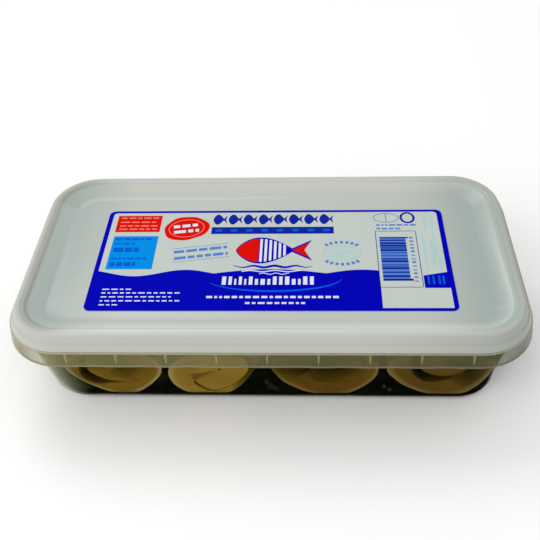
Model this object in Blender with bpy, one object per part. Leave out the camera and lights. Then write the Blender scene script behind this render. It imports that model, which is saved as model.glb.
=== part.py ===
"""Rolled herring fillets in vinegar, side by side in a rectangular plastic tub with its lid on.

The tub stands on Z = 0 with its long side along X, and the wall where the ends of the rolls
show faces -Y. Every ring of the tub and the lid is the same rounded rectangle, set in from
the lower edge of the tub's skirt. The vinegar round the rolls has no solid.
"""
import math

import bmesh
import bpy
from mathutils import Vector

MM = 0.001

# Outline of the skirt's lower edge, from which every inset is counted
HALF_LENGTH = 93.4 * MM
HALF_DEPTH = 48.55 * MM
CORNER_RADIUS = 21.1 * MM
CORNER_STEPS = 9

# Tub: a tapered body with a steeper band above its shoulder, an upright rim, and a flange
# with a skirt that hangs from it
WALL = 0.8 * MM
FLOOR = 0.9 * MM
BODY_CORNER = 15.6 * MM
BASE_INSET = 9.4 * MM
BASE_FILLET = 4.5 * MM
SHOULDER_Z = 24.0 * MM
SHOULDER_INSET = 6.05 * MM
WALL_TOP_INSET = 5.4 * MM
RIM_TOP = 40.0 * MM
RIM_OUTER_INSET = 5.2 * MM
RIM_INNER_INSET = 5.9 * MM
FLANGE_TOP = 36.4 * MM
FLANGE_THICKNESS = 0.8 * MM
FLANGE_UNDERSIDE = FLANGE_TOP - FLANGE_THICKNESS
FLANGE_EDGE_INSET = 0.9 * MM
SKIRT_BOTTOM = 30.6 * MM
SKIRT_THICKNESS = 0.7 * MM
FILLET_STEPS = 4

# Gussets between the wall and the skirt
GUSSET_PITCH = 17.75 * MM
GUSSET_THICKNESS = 0.9 * MM
GUSSET_BOTTOM = 31.8 * MM
GUSSETS_PER_LONG_SIDE = 9
GUSSETS_PER_SHORT_SIDE = 3

# Lid: a sunken panel, a raised rim that covers the tub's rim, and a stepped outer wall
LID_THICKNESS = 0.8 * MM
PANEL_TOP = 38.6 * MM
PANEL_INSET = 14.3 * MM
CREST_TOP = 42.0 * MM
CREST_INNER_INSET = 7.6 * MM
CREST_OUTER_TOP = 41.5 * MM
CREST_OUTER_INSET = 3.8 * MM
STEP_TOP = 38.6 * MM
STEP_INSET = 2.2 * MM
LID_BOTTOM = 36.6 * MM
LID_BOTTOM_INSET = 1.7 * MM

# Label stuck on the panel
LABEL_LENGTH = 132.8 * MM
LABEL_DEPTH = 55.7 * MM
LABEL_CENTRE = Vector((0.76 * MM, -1.91 * MM))
LABEL_CORNER = 3.0 * MM
LABEL_THICKNESS = 0.2 * MM
LABEL_GAP = 0.1 * MM

# What all the rolled fillets share
WALL_CLEARANCE = 0.5 * MM
TURN_GAP = 0.6 * MM
TAIL_THICKNESS = 1.6 * MM
HEAD_THICKNESS = 1.8 * MM
TAPER_ANGLE = 90.0
RAMP_ANGLE = 110.0
STEP_ANGLE = 12.0
EDGE_STEPS = 4
EDGE_DEPTH = 1.3 * MM
EDGE_WANDER = 0.9 * MM
THIN_SIDE = 0.84
SWELL_SPREAD = 60.0
POINT_SPREAD = 30.0
TAPER_SOFTNESS = 0.15

# Each roll, left to right, in millimetres across its end and degrees round it. The outer
# turn is an oval that stands on the floor at "base", leans, and tapers towards the floor;
# the inner turn is a second oval that lies "inner_offset" off its middle and may come to a
# point below. The fillet has a thickness and swells by more in one direction, but never
# closes the gap between the two ovals.
ROLLS = (
    dict(centre=-56.2, base=1.4, outer=(19.7, 17.0), lean=0.1, taper=0.5,
         inner_offset=(2.0, 2.5), inner=(11.3, 9.8), point=0.0, thickness=4.3, swell=4.8,
         swell_angle=-70.0, inner_thickness=4.2, end_angle=118.0, winding=-1, wound=590.0,
         front=-41.2, back=20.0),
    dict(centre=-20.0, base=1.3, outer=(16.5, 17.0), lean=-0.2, taper=0.03,
         inner_offset=(2.2, 1.0), inner=(10.5, 11.5), point=2.7, thickness=8.5, swell=0.0,
         swell_angle=0.0, inner_thickness=4.3, end_angle=70.0, winding=1, wound=595.0,
         front=-42.0, back=22.0),
    dict(centre=20.2, base=1.3, outer=(20.6, 17.0), lean=0.14, taper=0.36,
         inner_offset=(1.0, 2.5), inner=(14.3, 9.4), point=0.0, thickness=4.6, swell=4.5,
         swell_angle=-90.0, inner_thickness=4.5, end_angle=80.0, winding=1, wound=580.0,
         front=-41.5, back=24.5),
    dict(centre=62.4, base=1.4, outer=(21.5, 17.0), lean=0.19, taper=0.27,
         inner_offset=(1.4, 5.2), inner=(10.0, 8.0), point=0.0, thickness=5.3, swell=3.6,
         swell_angle=-90.0, inner_thickness=3.6, end_angle=98.0, winding=-1, wound=600.0,
         front=-41.6, back=18.0),
)

# Gherkin in the heart of each roll
GHERKIN_SIDES = 14
GHERKIN_RINGS = 10
GHERKIN_RECESS = 3.5 * MM
GHERKIN_GAP = 0.5 * MM
GHERKIN_WIDEST = 6.2 * MM
GHERKIN_BLUNTNESS = 3.2


def clear_scene():
    for item in list(bpy.data.objects):
        bpy.data.objects.remove(item, do_unlink=True)


def plastic(name, colour, roughness, alpha):
    return material(name, colour, roughness, alpha=alpha, transmission=0.6)


def material(name, colour, roughness, alpha=1.0, transmission=0.0):
    """Principled material of a linear colour."""
    made = bpy.data.materials.new(name)
    made.use_nodes = True
    shader = made.node_tree.nodes["Principled BSDF"]
    shader.inputs["Base Color"].default_value = (*colour, 1.0)
    shader.inputs["Roughness"].default_value = roughness
    shader.inputs["Metallic"].default_value = 0.0
    shader.inputs["Alpha"].default_value = alpha
    shader.inputs["Transmission Weight"].default_value = transmission
    made.diffuse_color = (*colour, alpha)
    return made


def smooth_step(value):
    clipped = min(max(value, 0.0), 1.0)
    return clipped * clipped * (3.0 - 2.0 * clipped)


def loft(name, rings, finish, collection, location=(0.0, 0.0, 0.0)):
    """Closed solid through rings with the same number of points, flat at both ends."""
    mesh = bmesh.new()
    loops = [[mesh.verts.new(point - Vector(location)) for point in ring] for ring in rings]
    for near, far in zip(loops, loops[1:]):
        count = len(near)
        for here in range(count):
            after = (here + 1) % count
            mesh.faces.new((near[here], near[after], far[after], far[here]))
    mesh.faces.new(loops[0])
    mesh.faces.new(loops[-1])
    bmesh.ops.recalc_face_normals(mesh, faces=mesh.faces)
    return finished_object(name, mesh, finish, collection, location)


def finished_object(name, mesh, finish, collection, location=(0.0, 0.0, 0.0)):
    data = bpy.data.meshes.new(name)
    mesh.to_mesh(data)
    mesh.free()
    data.materials.append(finish)
    data.shade_smooth()
    data.set_sharp_from_angle(angle=math.radians(35.0))
    made = bpy.data.objects.new(name, data)
    made.location = location
    collection.objects.link(made)
    return made


def rounded_ring(half_length, half_depth, radius, z, centre=Vector((0.0, 0.0))):
    """Rounded rectangle at a height, its corners as arcs, run anticlockwise."""
    ring = []
    for quarter, (side_x, side_y) in enumerate(((1, 1), (-1, 1), (-1, -1), (1, -1))):
        middle_x = centre.x + side_x * (half_length - radius)
        middle_y = centre.y + side_y * (half_depth - radius)
        for step in range(CORNER_STEPS + 1):
            angle = math.radians(90.0 * (quarter + step / CORNER_STEPS))
            ring.append(Vector((middle_x + radius * math.cos(angle),
                                middle_y + radius * math.sin(angle), z)))
    return ring


def inset_ring(inset, z):
    """The skirt's outline, set in from its lower edge."""
    return rounded_ring(HALF_LENGTH - inset, HALF_DEPTH - inset, CORNER_RADIUS - inset, z)


def body_ring(inwards, z):
    """Outline of the body's outer face at a height, set in by some distance."""
    inset = body_inset(z) + inwards
    return rounded_ring(HALF_LENGTH - inset, HALF_DEPTH - inset, BODY_CORNER - inwards, z)


def body_inset(z):
    """Inset of the body's outer face at a height, without the fillet at its foot."""
    if z < SHOULDER_Z:
        return BASE_INSET + (SHOULDER_INSET - BASE_INSET) * z / SHOULDER_Z
    above = (z - SHOULDER_Z) / (FLANGE_UNDERSIDE - SHOULDER_Z)
    return SHOULDER_INSET + (WALL_TOP_INSET - SHOULDER_INSET) * above


def foot_rings(inwards, floor, radius):
    """Rings of the rounding between a floor and the wall, from the floor upwards."""
    rings = []
    for step in range(FILLET_STEPS + 1):
        angle = math.radians(90.0 * (1.0 - step / FILLET_STEPS))
        z = floor + radius * (1.0 - math.sin(angle))
        rings.append(body_ring(inwards + radius * (1.0 - math.cos(angle)), z))
    return rings


def tub_rings():
    """Rings from the base, up the outside, over the rim and down the inside."""
    skirt_inner = FLANGE_EDGE_INSET + SKIRT_THICKNESS
    rings = foot_rings(0.0, 0.0, BASE_FILLET)
    rings += [body_ring(0.0, SHOULDER_Z),
              body_ring(0.0, FLANGE_UNDERSIDE),
              inset_ring(skirt_inner, FLANGE_UNDERSIDE),
              inset_ring(SKIRT_THICKNESS, SKIRT_BOTTOM),
              inset_ring(0.0, SKIRT_BOTTOM),
              inset_ring(FLANGE_EDGE_INSET, FLANGE_TOP),
              inset_ring(RIM_OUTER_INSET, FLANGE_TOP),
              inset_ring(RIM_OUTER_INSET, RIM_TOP),
              inset_ring(RIM_INNER_INSET, RIM_TOP),
              body_ring(WALL, SHOULDER_Z)]
    return rings + foot_rings(WALL, FLOOR, BASE_FILLET - WALL)[::-1]


def gusset(name, side, along, on_long_side, finish, collection):
    """Thin upright plate that runs from inside the wall to inside the skirt."""
    mesh = bmesh.new()
    bmesh.ops.create_cube(mesh, size=1.0)
    top = FLANGE_TOP - FLANGE_THICKNESS / 2.0
    skirt_slope = FLANGE_EDGE_INSET / (FLANGE_TOP - SKIRT_BOTTOM)
    for corner in mesh.verts:
        z = top if corner.co.z > 0.0 else GUSSET_BOTTOM
        if corner.co.x > 0.0:
            inset = skirt_slope * (z - SKIRT_BOTTOM) + SKIRT_THICKNESS / 2.0
        else:
            inset = body_inset(z) + WALL / 2.0
        across = along + math.copysign(GUSSET_THICKNESS / 2.0, corner.co.y)
        if on_long_side:
            corner.co = Vector((across, side * (HALF_DEPTH - inset), z))
        else:
            corner.co = Vector((side * (HALF_LENGTH - inset), across, z))
    bmesh.ops.recalc_face_normals(mesh, faces=mesh.faces)
    return finished_object(name, mesh, finish, collection)


def build_tub(finish, collection):
    tub = loft("tub", tub_rings(), finish, collection)
    gussets = bpy.data.collections.new("gussets")
    bpy.context.scene.collection.children.link(gussets)
    for side in (-1, 1):
        for on_long_side, count in ((True, GUSSETS_PER_LONG_SIDE),
                                    (False, GUSSETS_PER_SHORT_SIDE)):
            for place in range(count):
                along = (place - (count - 1) / 2.0) * GUSSET_PITCH
                gusset("gusset", side, along, on_long_side, finish, gussets)
    union = tub.modifiers.new("gussets", "BOOLEAN")
    union.operation = "UNION"
    union.operand_type = "COLLECTION"
    union.collection = gussets
    union.solver = "EXACT"
    apply_modifiers(tub)
    for plate in list(gussets.objects):
        bpy.data.objects.remove(plate, do_unlink=True)
    bpy.data.collections.remove(gussets)
    return tub


def apply_modifiers(item):
    """Replace an object's mesh by its evaluated one and drop its modifiers."""
    evaluated = item.evaluated_get(bpy.context.evaluated_depsgraph_get())
    applied = bpy.data.meshes.new_from_object(evaluated)
    item.modifiers.clear()
    item.data = applied


def lid_profile():
    """Insets and heights from the panel's underside, out and down, and back over the top."""
    under, over = [], []
    for step in range(FILLET_STEPS + 1):
        angle = math.radians(90.0 * step / FILLET_STEPS)
        reach = (PANEL_INSET - CREST_INNER_INSET) * math.cos(angle)
        over.append((PANEL_INSET - reach, CREST_TOP - (CREST_TOP - PANEL_TOP) * math.sin(angle)))
        under.append((PANEL_INSET - reach + LID_THICKNESS / 2.0,
                      CREST_TOP - LID_THICKNESS - (CREST_TOP - PANEL_TOP) * math.sin(angle)))
    under = under[::-1]
    under += [(CREST_OUTER_INSET + LID_THICKNESS, CREST_OUTER_TOP - LID_THICKNESS),
              (STEP_INSET + LID_THICKNESS, STEP_TOP - LID_THICKNESS / 2.0),
              (LID_BOTTOM_INSET + LID_THICKNESS, LID_BOTTOM)]
    outside = [(LID_BOTTOM_INSET, LID_BOTTOM),
               (STEP_INSET, STEP_TOP),
               (CREST_OUTER_INSET - 0.3 * MM, CREST_OUTER_TOP - 0.5 * MM),
               (CREST_OUTER_INSET + 0.3 * MM, CREST_OUTER_TOP)]
    return under + outside + over


def build_lid(finish, collection):
    return loft("lid", [inset_ring(inset, z) for inset, z in lid_profile()], finish, collection)


def build_label(finish, collection):
    bottom = PANEL_TOP + LABEL_GAP
    rings = [rounded_ring(LABEL_LENGTH / 2.0, LABEL_DEPTH / 2.0, LABEL_CORNER, z, LABEL_CENTRE)
             for z in (bottom, bottom + LABEL_THICKNESS)]
    return loft("label", rings, finish, collection)


def inner_depth(x, z):
    """Half the tub's inside depth at a place along its length and a height."""
    inwards = WALL
    radius = BASE_FILLET - WALL
    above_floor = z - FLOOR
    if above_floor < radius:
        dip = radius - max(above_floor, 0.0)
        inwards += radius - math.sqrt(radius * radius - dip * dip)
    inset = body_inset(z) + inwards
    corner = BODY_CORNER - inwards
    past = min(max(abs(x) - (HALF_LENGTH - inset - corner), 0.0), corner)
    return HALF_DEPTH - inset - corner + math.sqrt(corner * corner - past * past)


def roll_middle(roll):
    return Vector((roll["centre"] * MM, (roll["base"] + roll["outer"][1]) * MM))


def turn_outlines(roll, angle):
    """Points (x, z) of the outer and the inner oval, at an angle wound from the outer end."""
    heading = math.radians(roll["end_angle"] - roll["winding"] * angle)
    across, up = math.cos(heading), math.sin(heading)
    below_middle = (up - math.sqrt(up * up + TAPER_SOFTNESS)) / 2.0
    width = 1.0 + roll["taper"] * below_middle
    below = (math.degrees(heading) + 270.0) % 360.0 - 180.0
    point = roll["point"] * math.exp(-(below / POINT_SPREAD) ** 2)
    outlines = []
    for (half_x, half_z), (shift_x, shift_z), drop in (
            ((roll["outer"][0] * width, roll["outer"][1]), (0.0, 0.0), 0.0),
            (roll["inner"], roll["inner_offset"], point)):
        z = half_z * up + shift_z - drop
        x = half_x * across + shift_x - roll["lean"] * z
        outlines.append(roll_middle(roll) + Vector((x, z)) * MM)
    return outlines


def outward_normal(roll, angle, which):
    """Unit vector square to one of the two ovals, pointing out of the roll."""
    ahead = turn_outlines(roll, angle + 0.5)[which]
    behind = turn_outlines(roll, angle - 0.5)[which]
    along = (ahead - behind).normalized()
    return Vector((-along.y, along.x)) * roll["winding"]


def wound_section(roll, angle):
    """Outer point, outward direction and thickness of the fillet at an angle."""
    outer, inner = turn_outlines(roll, angle)
    normal = outward_normal(roll, angle, 0)
    inner_normal = outward_normal(roll, angle, 1)
    spacing = (outer - inner).dot(normal)
    heading = roll["end_angle"] - roll["winding"] * angle
    off_swell = (heading - roll["swell_angle"] + 180.0) % 360.0 - 180.0
    swollen = roll["thickness"] + roll["swell"] * math.exp(-(off_swell / SWELL_SPREAD) ** 2)
    outer_thickness = min(swollen * MM, spacing - TURN_GAP)
    inner_thickness = roll["inner_thickness"] * MM
    if angle < 360.0:
        tail = smooth_step(angle / TAPER_ANGLE)
        ramp = smooth_step((angle - (360.0 - RAMP_ANGLE)) / RAMP_ANGLE)
        thickness = TAIL_THICKNESS + (outer_thickness - TAIL_THICKNESS) * tail
        share = (thickness + TURN_GAP) / spacing
        share += (1.0 - share) * tail
        share *= 1.0 - ramp
        thickness += (inner_thickness - thickness) * ramp
        surface = inner + (outer - inner) * share
        return surface, normal.lerp(inner_normal, ramp).normalized(), thickness
    head = smooth_step((roll["wound"] - angle) / TAPER_ANGLE)
    thickness = HEAD_THICKNESS + (inner_thickness - HEAD_THICKNESS) * head
    return inner, inner_normal, thickness


def fillet_ring(roll, number, angle):
    """Flat oval section of a fillet, square to the way it is wound."""
    surface, outward, thickness = wound_section(roll, angle)
    middle = surface - outward * thickness / 2.0
    turn = math.radians(angle)
    front = roll["front"] * MM + EDGE_WANDER * math.sin(2.0 * turn + number)
    front += EDGE_WANDER * 0.6 * math.sin(3.4 * turn + 2.0 * number)
    back = roll["back"] * MM + EDGE_WANDER * 1.5 * math.sin(1.6 * turn + 3.0 * number)
    ring = []
    for end, edge in ((front, -1.0), (back, 1.0)):
        for step in range(EDGE_STEPS + 1):
            swing = math.radians(-90.0 + 180.0 * step / EDGE_STEPS)
            offset = -edge * math.sin(swing) * thickness / 2.0 * THIN_SIDE
            y = end - edge * EDGE_DEPTH * (1.0 - math.cos(swing))
            ring.append(section_point(middle, outward, offset, y))
        ring.append(section_point(middle, outward, edge * -thickness / 2.0, (front + back) / 2.0))
    return ring


def section_point(middle, outward, offset, y):
    """Point of a section, held back where the tub's wall is in its way."""
    place = middle + outward * offset
    limit = inner_depth(place.x, place.y) - WALL_CLEARANCE
    return Vector((place.x, max(y, -limit), place.y))


def build_roll(number, roll, finish, collection):
    steps = round(roll["wound"] / STEP_ANGLE)
    rings = [fillet_ring(roll, number, roll["wound"] * step / steps) for step in range(steps + 1)]
    middle = roll_middle(roll)
    return loft(f"herring_{number}", rings, finish, collection, (middle.x, 0.0, middle.y))


def build_gherkin(number, roll, finish, collection):
    """Blunt-ended gherkin that fills the space inside the inner turn."""
    wrap = roll["inner_thickness"] * MM + GHERKIN_GAP
    half_width = min(roll["inner"][0] * MM - wrap, GHERKIN_WIDEST)
    half_height = min(roll["inner"][1] * MM - wrap, GHERKIN_WIDEST)
    front = roll["front"] * MM + GHERKIN_RECESS
    back = roll["back"] * MM - GHERKIN_RECESS
    middle = roll_middle(roll)
    rise = roll["inner_offset"][1] * MM
    centre_x = middle.x + roll["inner_offset"][0] * MM - roll["lean"] * rise
    centre_z = middle.y + rise
    rings = []
    for step in range(GHERKIN_RINGS + 1):
        place = -math.cos(math.pi * (step + 0.5) / (GHERKIN_RINGS + 1))
        size = (1.0 - abs(place) ** GHERKIN_BLUNTNESS) ** (1.0 / GHERKIN_BLUNTNESS)
        y = front + (back - front) * (place + 1.0) / 2.0
        ring = []
        for side in range(GHERKIN_SIDES):
            angle = 2.0 * math.pi * side / GHERKIN_SIDES
            z = half_height * size * math.sin(angle)
            x = half_width * size * math.cos(angle) - roll["lean"] * z
            ring.append(Vector((centre_x + x, y, centre_z + z)))
        rings.append(ring)
    return loft(f"gherkin_{number}", rings, finish, collection, (centre_x, 0.0, centre_z))


def build():
    clear_scene()
    pack = bpy.data.collections.new("rollmop_pack")
    bpy.context.scene.collection.children.link(pack)
    clear_plastic = plastic("clear_plastic", (0.42, 0.45, 0.36), 0.18, 0.35)
    milky_plastic = plastic("milky_plastic", (0.55, 0.57, 0.52), 0.35, 0.9)
    printed_film = material("printed_film", (0.10, 0.16, 0.42), 0.4)
    flesh = material("herring_flesh", (0.20, 0.13, 0.05), 0.45)
    pickle = material("pickle_green", (0.12, 0.14, 0.03), 0.4)
    build_tub(clear_plastic, pack)
    build_lid(milky_plastic, pack)
    build_label(printed_film, pack)
    for number, roll in enumerate(ROLLS, start=1):
        build_roll(number, roll, flesh, pack)
        build_gherkin(number, roll, pickle, pack)


build()
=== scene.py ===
"""Rolled herring fillets in vinegar, in a clear plastic tub with a milky lid and a printed label.

The front of the pack, where the ends of the rolls show, faces -Y. Sizes are in millimetres
where they are named, and MM turns them into the metres of the frame.
"""

import math

import bmesh
import bpy
import numpy as np
from mathutils import Matrix, Vector


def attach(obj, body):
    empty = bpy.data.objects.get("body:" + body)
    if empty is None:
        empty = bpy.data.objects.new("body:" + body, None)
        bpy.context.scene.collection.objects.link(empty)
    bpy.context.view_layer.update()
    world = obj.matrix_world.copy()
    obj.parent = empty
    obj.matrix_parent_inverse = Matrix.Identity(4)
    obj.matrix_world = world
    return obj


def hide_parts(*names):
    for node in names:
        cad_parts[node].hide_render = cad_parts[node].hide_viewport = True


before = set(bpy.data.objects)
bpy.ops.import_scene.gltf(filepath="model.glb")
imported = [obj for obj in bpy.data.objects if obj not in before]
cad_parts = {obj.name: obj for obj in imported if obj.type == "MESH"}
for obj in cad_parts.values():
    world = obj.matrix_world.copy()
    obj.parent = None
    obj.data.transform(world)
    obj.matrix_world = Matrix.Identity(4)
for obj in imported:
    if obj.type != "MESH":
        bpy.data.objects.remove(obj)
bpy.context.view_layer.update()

# Camera
# It looks down on the front of the pack, a little turned and tilted. The label's corners and the
# straight edges of the lid fix its place.
CAMERA_PLACE = Vector((0.01516, -0.22043, 0.23716))
CAMERA_PITCH = math.radians(43.116)
CAMERA_YAW = math.radians(-4.002)
CAMERA_ROLL = math.radians(-2.858)
CAMERA_LENS = 52.33
CAMERA_SENSOR = 36.0
CAMERA_NEAREST = 0.01

forward = Vector((math.sin(CAMERA_YAW) * math.cos(CAMERA_PITCH),
                  math.cos(CAMERA_YAW) * math.cos(CAMERA_PITCH), -math.sin(CAMERA_PITCH)))
level = Vector((math.cos(CAMERA_YAW), -math.sin(CAMERA_YAW), 0.0))
upward = level.cross(forward)
picture_right = level * math.cos(CAMERA_ROLL) + upward * math.sin(CAMERA_ROLL)
picture_top = upward * math.cos(CAMERA_ROLL) - level * math.sin(CAMERA_ROLL)
camera_data = bpy.data.cameras.new("camera")
camera_data.lens = CAMERA_LENS
camera_data.sensor_width = CAMERA_SENSOR
camera_data.clip_start = CAMERA_NEAREST
camera = bpy.data.objects.new("camera", camera_data)
turn = Matrix((picture_right, picture_top, -forward)).transposed().to_4x4()
camera.matrix_world = Matrix.Translation(CAMERA_PLACE) @ turn
bpy.context.scene.collection.objects.link(camera)
bpy.context.scene.camera = camera


# Floor and light
# A wide pale floor under an even white sky, with a large soft lamp in front of the pack on the
# left, a second behind it, and a small one over the camera that draws thin lights on the ridges.
FLOOR_SIZE = 3.0
SKY_STRENGTH = 0.74
BACK_LAMP = dict(place=(-0.3, 0.6, 0.95), size=0.5, power=2.4)
FRONT_LAMP = dict(place=(-0.7, -0.6, 0.8), size=0.7, power=4.0)
SPARK_LAMP = dict(place=(0.05, -0.62, 1.1), size=0.09, power=0.6)


def colour(red, green, blue):
    """Linear colour from screen values of 0 to 255."""
    return tuple((part / 255.0) ** 2.2 for part in (red, green, blue)) + (1.0,)


class Signal:
    """A value that runs through a material: sums and products of signals add Math nodes."""

    def __init__(self, finish, socket):
        self.finish = finish
        self.socket = socket

    def math(self, operation, *values):
        """Add one Math node, with its values in order."""
        return self.finish.node("Math", {"operation": operation}, dict(enumerate(values)))

    def __add__(self, other):
        return self.math("ADD", self, other)

    def __sub__(self, other):
        return self.math("SUBTRACT", self, other)

    def __rsub__(self, other):
        return self.math("SUBTRACT", other, self)

    def __mul__(self, other):
        return self.math("MULTIPLY", self, other)

    __radd__ = __add__
    __rmul__ = __mul__


class Finish:
    """A material with one Principled shader, fed by plain values and by signals."""

    def __init__(self, name, **values):
        self.material = bpy.data.materials.new(name)
        self.material.use_nodes = True
        self.tree = self.material.node_tree
        self.shader = self.tree.nodes["Principled BSDF"]
        self.set(**values)

    def feed(self, socket, value):
        """Link a signal to a socket, or set the socket to a plain value."""
        if isinstance(value, Signal):
            self.tree.links.new(value.socket, socket)
        else:
            socket.default_value = value

    def set(self, **values):
        """Feed sockets of the shader, named as on its panel with _ for a space."""
        for name, value in values.items():
            self.feed(self.shader.inputs[name.replace("_", " ")], value)

    def node(self, kind, settings=None, sockets=None, output=0):
        """Add a node: its settings first, then the values or signals of its sockets."""
        made = self.tree.nodes.new("ShaderNode" + kind)
        for name, value in (settings or {}).items():
            setattr(made, name, value)
        for name, value in (sockets or {}).items():
            self.feed(made.inputs[name], value)
        return Signal(self, made.outputs[output])

    def mix(self, factor, first, second):
        """The first colour at a factor of 0, the second at 1."""
        return self.node("Mix", {"data_type": "RGBA"}, {0: factor, 6: first, 7: second}, output=2)

    def place(self, stretch=(1.0, 1.0, 1.0)):
        """The object's own coordinates in metres, multiplied along each axis."""
        point = self.node("TexCoord", output="Object")
        return self.node("Mapping", None, {"Vector": point, "Scale": stretch})

    def axis(self, name):
        """One of the object's own coordinates, in metres."""
        return self.node("SeparateXYZ", None, {0: self.node("TexCoord", output="Object")}, name)

    def noise(self, scale, detail=2.0, stretch=(1.0, 1.0, 1.0)):
        """Cloudy noise over the object, with so many waves to a metre."""
        return self.node("TexNoise", None, {"Vector": self.place(stretch), "Scale": scale,
                                            "Detail": detail})

    def between(self, value, low, high):
        """0 at low, 1 at high, with a smooth step between them."""
        return self.node("MapRange", {"interpolation_type": "SMOOTHSTEP"},
                         {"Value": value, "From Min": low, "From Max": high})

    def attribute(self, name):
        """A value that the mesh carries at each of its points."""
        return self.node("Attribute", {"attribute_name": name}, output="Fac")

    def bump(self, height, distance, strength):
        """Surface relief from a height, whose full step is a distance in metres."""
        return self.node("Bump", None, {"Height": height, "Distance": distance,
                                        "Strength": strength})


floor_paint = Finish("floor_paint", Roughness=0.7)
floor_paint.set(Base_Color=floor_paint.mix(floor_paint.noise(3.0), colour(252, 252, 251),
                                           colour(254, 254, 253)))
bpy.ops.mesh.primitive_plane_add(size=FLOOR_SIZE, location=(0.0, 0.0, 0.0))
floor = bpy.context.object
floor.name = "floor"
floor.data.materials.append(floor_paint.material)

world = bpy.data.worlds.new("sky")
world.use_nodes = True
world.node_tree.nodes["Background"].inputs["Strength"].default_value = SKY_STRENGTH
world.node_tree.nodes["Background"].inputs["Color"].default_value = (1.0, 1.0, 1.0, 1.0)
bpy.context.scene.world = world
bpy.context.scene.view_settings.view_transform = "Standard"
for name, lamp in (("back_lamp", BACK_LAMP), ("front_lamp", FRONT_LAMP),
                   ("spark_lamp", SPARK_LAMP)):
    light = bpy.data.lights.new(name, "AREA")
    light.size = lamp["size"]
    light.energy = lamp["power"]
    light_object = bpy.data.objects.new(name, light)
    light_object.location = lamp["place"]
    light_object.rotation_euler = (-Vector(lamp["place"])).to_track_quat("-Z", "Y").to_euler()
    bpy.context.scene.collection.objects.link(light_object)


# Tub
# Thin clear polypropylene, moulded in one piece: a tapered body with round corners, an upright
# rim that the lid clips over, and a flange whose skirt hangs down outside and hides the liquid's
# level. The plastic is hazier where it is thick, at the flange and the skirt's lower edge. Its
# foot is painted dark as painted shade, its left front corner pale as painted light, and the
# skirt and flange darker towards the right as painted shade.
MM = 0.001
HALF_LENGTH = 93.4
HALF_DEPTH = 48.55
CORNER_RADIUS = 21.1
BODY_CORNER = 15.6
WALL = 0.8
FLOOR = 0.9
BASE_INSET = 9.4
BASE_FILLET = 4.5
SHOULDER_Z = 24.0
SHOULDER_INSET = 6.05
WALL_TOP_INSET = 5.4
RIM_TOP = 40.0
RIM_OUTER_INSET = 5.2
RIM_INNER_INSET = 5.9
FLANGE_TOP = 36.1
FLANGE_UNDERSIDE = 35.3
FLANGE_EDGE_INSET = 0.9
SKIRT_BOTTOM = 30.0
SKIRT_THICKNESS = 0.7
RIB_PITCH = 17.36
RIB_SHIFT = 0.6
SKIRT_SAG = 0.1
CORNER_STEPS = 14
LONG_STEPS = 60
SHORT_STEPS = 26


def rounded_outline(half_length, half_depth, corner):
    """Rounded rectangle (x, y), anticlockwise: four arcs with an evenly cut side after each."""
    points = []
    turns = np.linspace(0.0, math.pi / 2.0, CORNER_STEPS + 1)
    for quarter, (side_x, side_y) in enumerate(((1, 1), (-1, 1), (-1, -1), (1, -1))):
        middle = np.array([side_x * (half_length - corner), side_y * (half_depth - corner)])
        angles = turns + quarter * math.pi / 2.0
        arc = middle + corner * np.stack([np.cos(angles), np.sin(angles)], -1)
        points.append(arc)
        ahead = np.array([[-side_y * side_x, 1.0], [1.0, -side_y * side_x]][quarter % 2])
        steps = (LONG_STEPS, SHORT_STEPS)[quarter % 2]
        start = arc[-1]
        end = start * ahead
        share = np.linspace(0.0, 1.0, steps + 1)[1:-1, None]
        points.append(start + (end - start) * share)
    return np.concatenate(points)


def body_inset(z):
    """Inset of the body's outer face from the skirt's lower edge, at a height."""
    below = BASE_INSET + (SHOULDER_INSET - BASE_INSET) * z / SHOULDER_Z
    share = (z - SHOULDER_Z) / (FLANGE_UNDERSIDE - SHOULDER_Z)
    above = SHOULDER_INSET + (WALL_TOP_INSET - SHOULDER_INSET) * share
    return np.where(z < SHOULDER_Z, below, above)


def foot_profile(inwards, floor, radius, steps=8):
    """(inset, height, corner) of the rounding between a floor and the wall, upwards."""
    angles = np.linspace(math.pi / 2.0, 0.0, steps + 1)
    z = floor + radius * (1.0 - np.sin(angles))
    inset = body_inset(z) + inwards + radius * (1.0 - np.cos(angles))
    corner = BODY_CORNER - inwards - radius * (1.0 - np.cos(angles))
    return np.stack([inset, z, corner], -1)


def wall_profile(inwards, low, high, steps=7):
    """(inset, height, corner) along the wall between two heights, at even steps."""
    z = np.linspace(low, high, steps)
    return np.stack([body_inset(z) + inwards, z, np.full(steps, BODY_CORNER - inwards)], -1)


def ring_profile(*corners, steps=3):
    """(inset, height, corner) along straight runs between corners, given as inset, height and
    reach. Each is rounded by a short curve that leaves both runs at its reach."""
    points = [np.array([inset, z, CORNER_RADIUS - inset]) for inset, z, reach in corners]
    made = [points[0][None]]
    for spot in range(1, len(points) - 1):
        here, reach = points[spot], corners[spot][2]
        back, on = points[spot - 1] - here, points[spot + 1] - here
        start = here + back * min(0.45, reach / np.linalg.norm(back[:2]))
        end = here + on * min(0.45, reach / np.linalg.norm(on[:2]))
        share = np.linspace(0.0, 1.0, steps + 1)[:, None]
        made.append(start * (1 - share) ** 2 + 2 * here * share * (1 - share) + end * share ** 2)
    made.append(points[-1][None])
    return np.concatenate(made)


def finer(profile, longest):
    """The same profile with its long runs cut into shorter ones."""
    made = [profile[:1]]
    for start, end in zip(profile, profile[1:]):
        cuts = math.ceil(np.linalg.norm((end - start)[:2]) / longest)
        share = np.linspace(0.0, 1.0, max(cuts, 1) + 1)[1:, None]
        made.append(start + (end - start) * share)
    return np.concatenate(made)


def carried_round(profile):
    """Rings of points: each profile point carried round the rounded rectangle at its inset."""
    rings = []
    for inset, z, corner in profile:
        outline = rounded_outline(HALF_LENGTH - inset, HALF_DEPTH - inset, corner)
        rings.append(np.column_stack([outline, np.full(len(outline), z)]))
    return np.stack(rings)


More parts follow.
